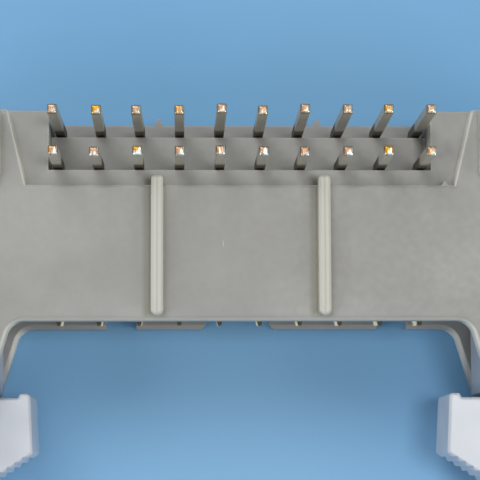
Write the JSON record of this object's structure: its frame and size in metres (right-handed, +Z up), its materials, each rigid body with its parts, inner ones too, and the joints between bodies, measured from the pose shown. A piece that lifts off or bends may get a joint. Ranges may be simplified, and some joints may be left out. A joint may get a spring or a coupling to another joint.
{
  "type": "idc box header",
  "caption": "Right-angle shrouded box header with two rows of pins, keyways, stand-off ribs and a hinged ejector latch at each end.",
  "frame": {"origin": "on the surface the header lies on, under the middle of its box", "axes": "+X along the rows of contacts, +Y towards the rear where the tails stand, +Z up towards the board side"},
  "size_m": [0.045, 0.0264, 0.0133],
  "materials": {
    "housing_plastic": "fine matt moulded grey",
    "contact_metal": "tin-plated tails, gold-flashed ends",
    "latch_plastic": "smooth moulded pale grey"
  },
  "bodies": {
    "header": {"housing": "housing_plastic", "contact_near_01": "contact_metal", "contact_near_02": "contact_metal", "contact_near_03": "contact_metal", "contact_near_04": "contact_metal", "contact_near_05": "contact_metal", "contact_near_06": "contact_metal", "contact_near_07": "contact_metal", "contact_near_08": "contact_metal", "contact_near_09": "contact_metal", "contact_near_10": "contact_metal", "contact_far_01": "contact_metal", "contact_far_02": "contact_metal", "contact_far_03": "contact_metal", "contact_far_04": "contact_metal", "contact_far_05": "contact_metal", "contact_far_06": "contact_metal", "contact_far_07": "contact_metal", "contact_far_08": "contact_metal", "contact_far_09": "contact_metal", "contact_far_10": "contact_metal"},
    "right_latch": {"latch_right": "latch_plastic"},
    "left_latch": {"latch_left": "latch_plastic"}
  },
  "joints": [
    {"name": "right_latch_hinge", "type": "hinge", "parent": "header", "child": "right_latch", "pos_m": [0.0189, 0.00793, 0.00455], "axis": [0, 0, 1], "range_deg": [0, 34]},
    {"name": "left_latch_hinge", "type": "hinge", "parent": "header", "child": "left_latch", "pos_m": [-0.0189, 0.00793, 0.00455], "axis": [0, 0, -1], "range_deg": [0, 34]}
  ]
}
